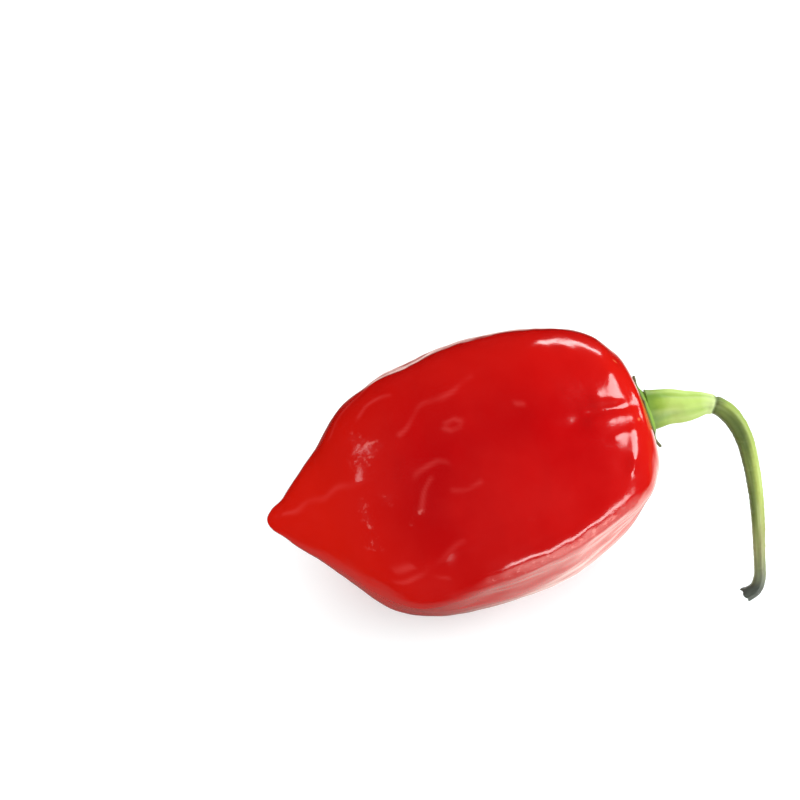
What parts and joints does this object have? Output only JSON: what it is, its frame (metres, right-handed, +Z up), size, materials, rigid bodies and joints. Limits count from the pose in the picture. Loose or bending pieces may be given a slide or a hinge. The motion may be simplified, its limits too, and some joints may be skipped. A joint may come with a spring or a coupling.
{
  "type": "chilli pepper",
  "caption": "Ripe red lantern-shaped chilli pepper lying on its side, with a green calyx and a bent, fluted stalk.",
  "frame": {"origin": "on the surface the pepper lies on, in the middle of the flat spot under the pod", "axes": "+X from the pod's tip to its stem end, +Y away from the side that the stalk droops to, +Z up"},
  "size_m": [0.0686, 0.0389, 0.037],
  "materials": {
    "pod_skin": "glossy waxy fruit skin",
    "calyx_green": "matt plant skin with a dry brown edge",
    "stalk_green": "satin ridged plant skin"
  },
  "bodies": {
    "root": {"pod": "pod_skin", "calyx": "calyx_green", "stalk": "stalk_green"}
  },
  "joints": []
}
